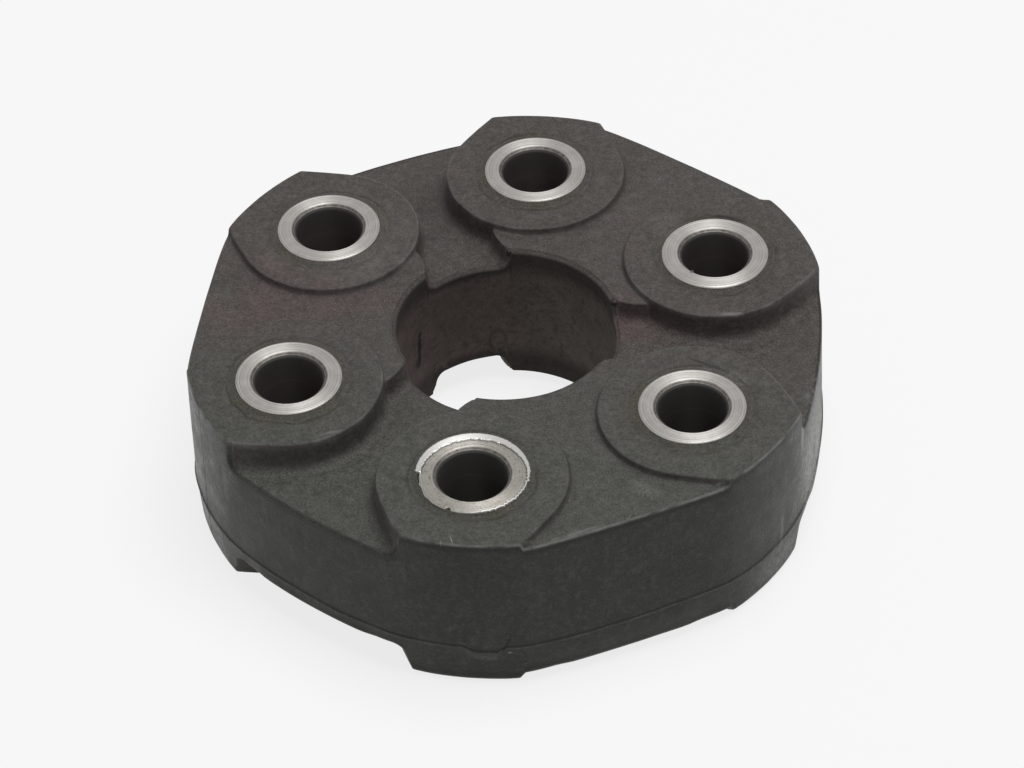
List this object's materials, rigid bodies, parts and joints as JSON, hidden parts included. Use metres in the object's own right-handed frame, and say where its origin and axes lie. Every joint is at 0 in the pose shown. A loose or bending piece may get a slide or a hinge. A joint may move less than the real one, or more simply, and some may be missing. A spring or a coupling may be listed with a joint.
{
  "type": "driveshaft coupling",
  "caption": "Flexible disc coupling: a thick rubber ring with open centre, raised round pads, webs of two thicknesses and steel bolt sleeves.",
  "frame": {"origin": "centre of the disc: the middle of the bolt circle, half way between the sleeve ends", "axes": "+Z along the disc's axis towards the upper sleeve ends, +Y through sleeve 1, the sleeve farthest from the viewer in the picture"},
  "size_m": [0.1315, 0.136, 0.04],
  "materials": {
    "rubber": "matt moulded rubber, fine grained",
    "turned_steel": "turned end faces",
    "cord": "wound polyester cord",
    "collar_steel": "pressed sheet"
  },
  "bodies": {
    "root": {"rubber_body": "rubber", "steel_sleeve_1": "turned_steel", "steel_sleeve_2": "turned_steel", "steel_sleeve_3": "turned_steel", "steel_sleeve_4": "turned_steel", "steel_sleeve_5": "turned_steel", "steel_sleeve_6": "turned_steel", "cord_loop_12_lower": "cord", "cord_loop_12_upper": "cord", "end_collar_lower_1": "collar_steel", "spacer_collar_lower_1": "collar_steel", "spacer_collar_upper_1": "collar_steel", "end_collar_upper_1": "collar_steel", "cord_loop_23_middle": "cord", "end_collar_lower_2": "collar_steel", "spacer_collar_lower_2": "collar_steel", "spacer_collar_upper_2": "collar_steel", "end_collar_upper_2": "collar_steel", "cord_loop_34_lower": "cord", "cord_loop_34_upper": "cord", "end_collar_lower_3": "collar_steel", "spacer_collar_lower_3": "collar_steel", "spacer_collar_upper_3": "collar_steel", "end_collar_upper_3": "collar_steel", "cord_loop_45_middle": "cord", "end_collar_lower_4": "collar_steel", "spacer_collar_lower_4": "collar_steel", "spacer_collar_upper_4": "collar_steel", "end_collar_upper_4": "collar_steel", "cord_loop_56_lower": "cord", "cord_loop_56_upper": "cord", "end_collar_lower_5": "collar_steel", "spacer_collar_lower_5": "collar_steel", "spacer_collar_upper_5": "collar_steel", "end_collar_upper_5": "collar_steel", "cord_loop_61_middle": "cord", "end_collar_lower_6": "collar_steel", "spacer_collar_lower_6": "collar_steel", "spacer_collar_upper_6": "collar_steel", "end_collar_upper_6": "collar_steel"}
  },
  "joints": []
}
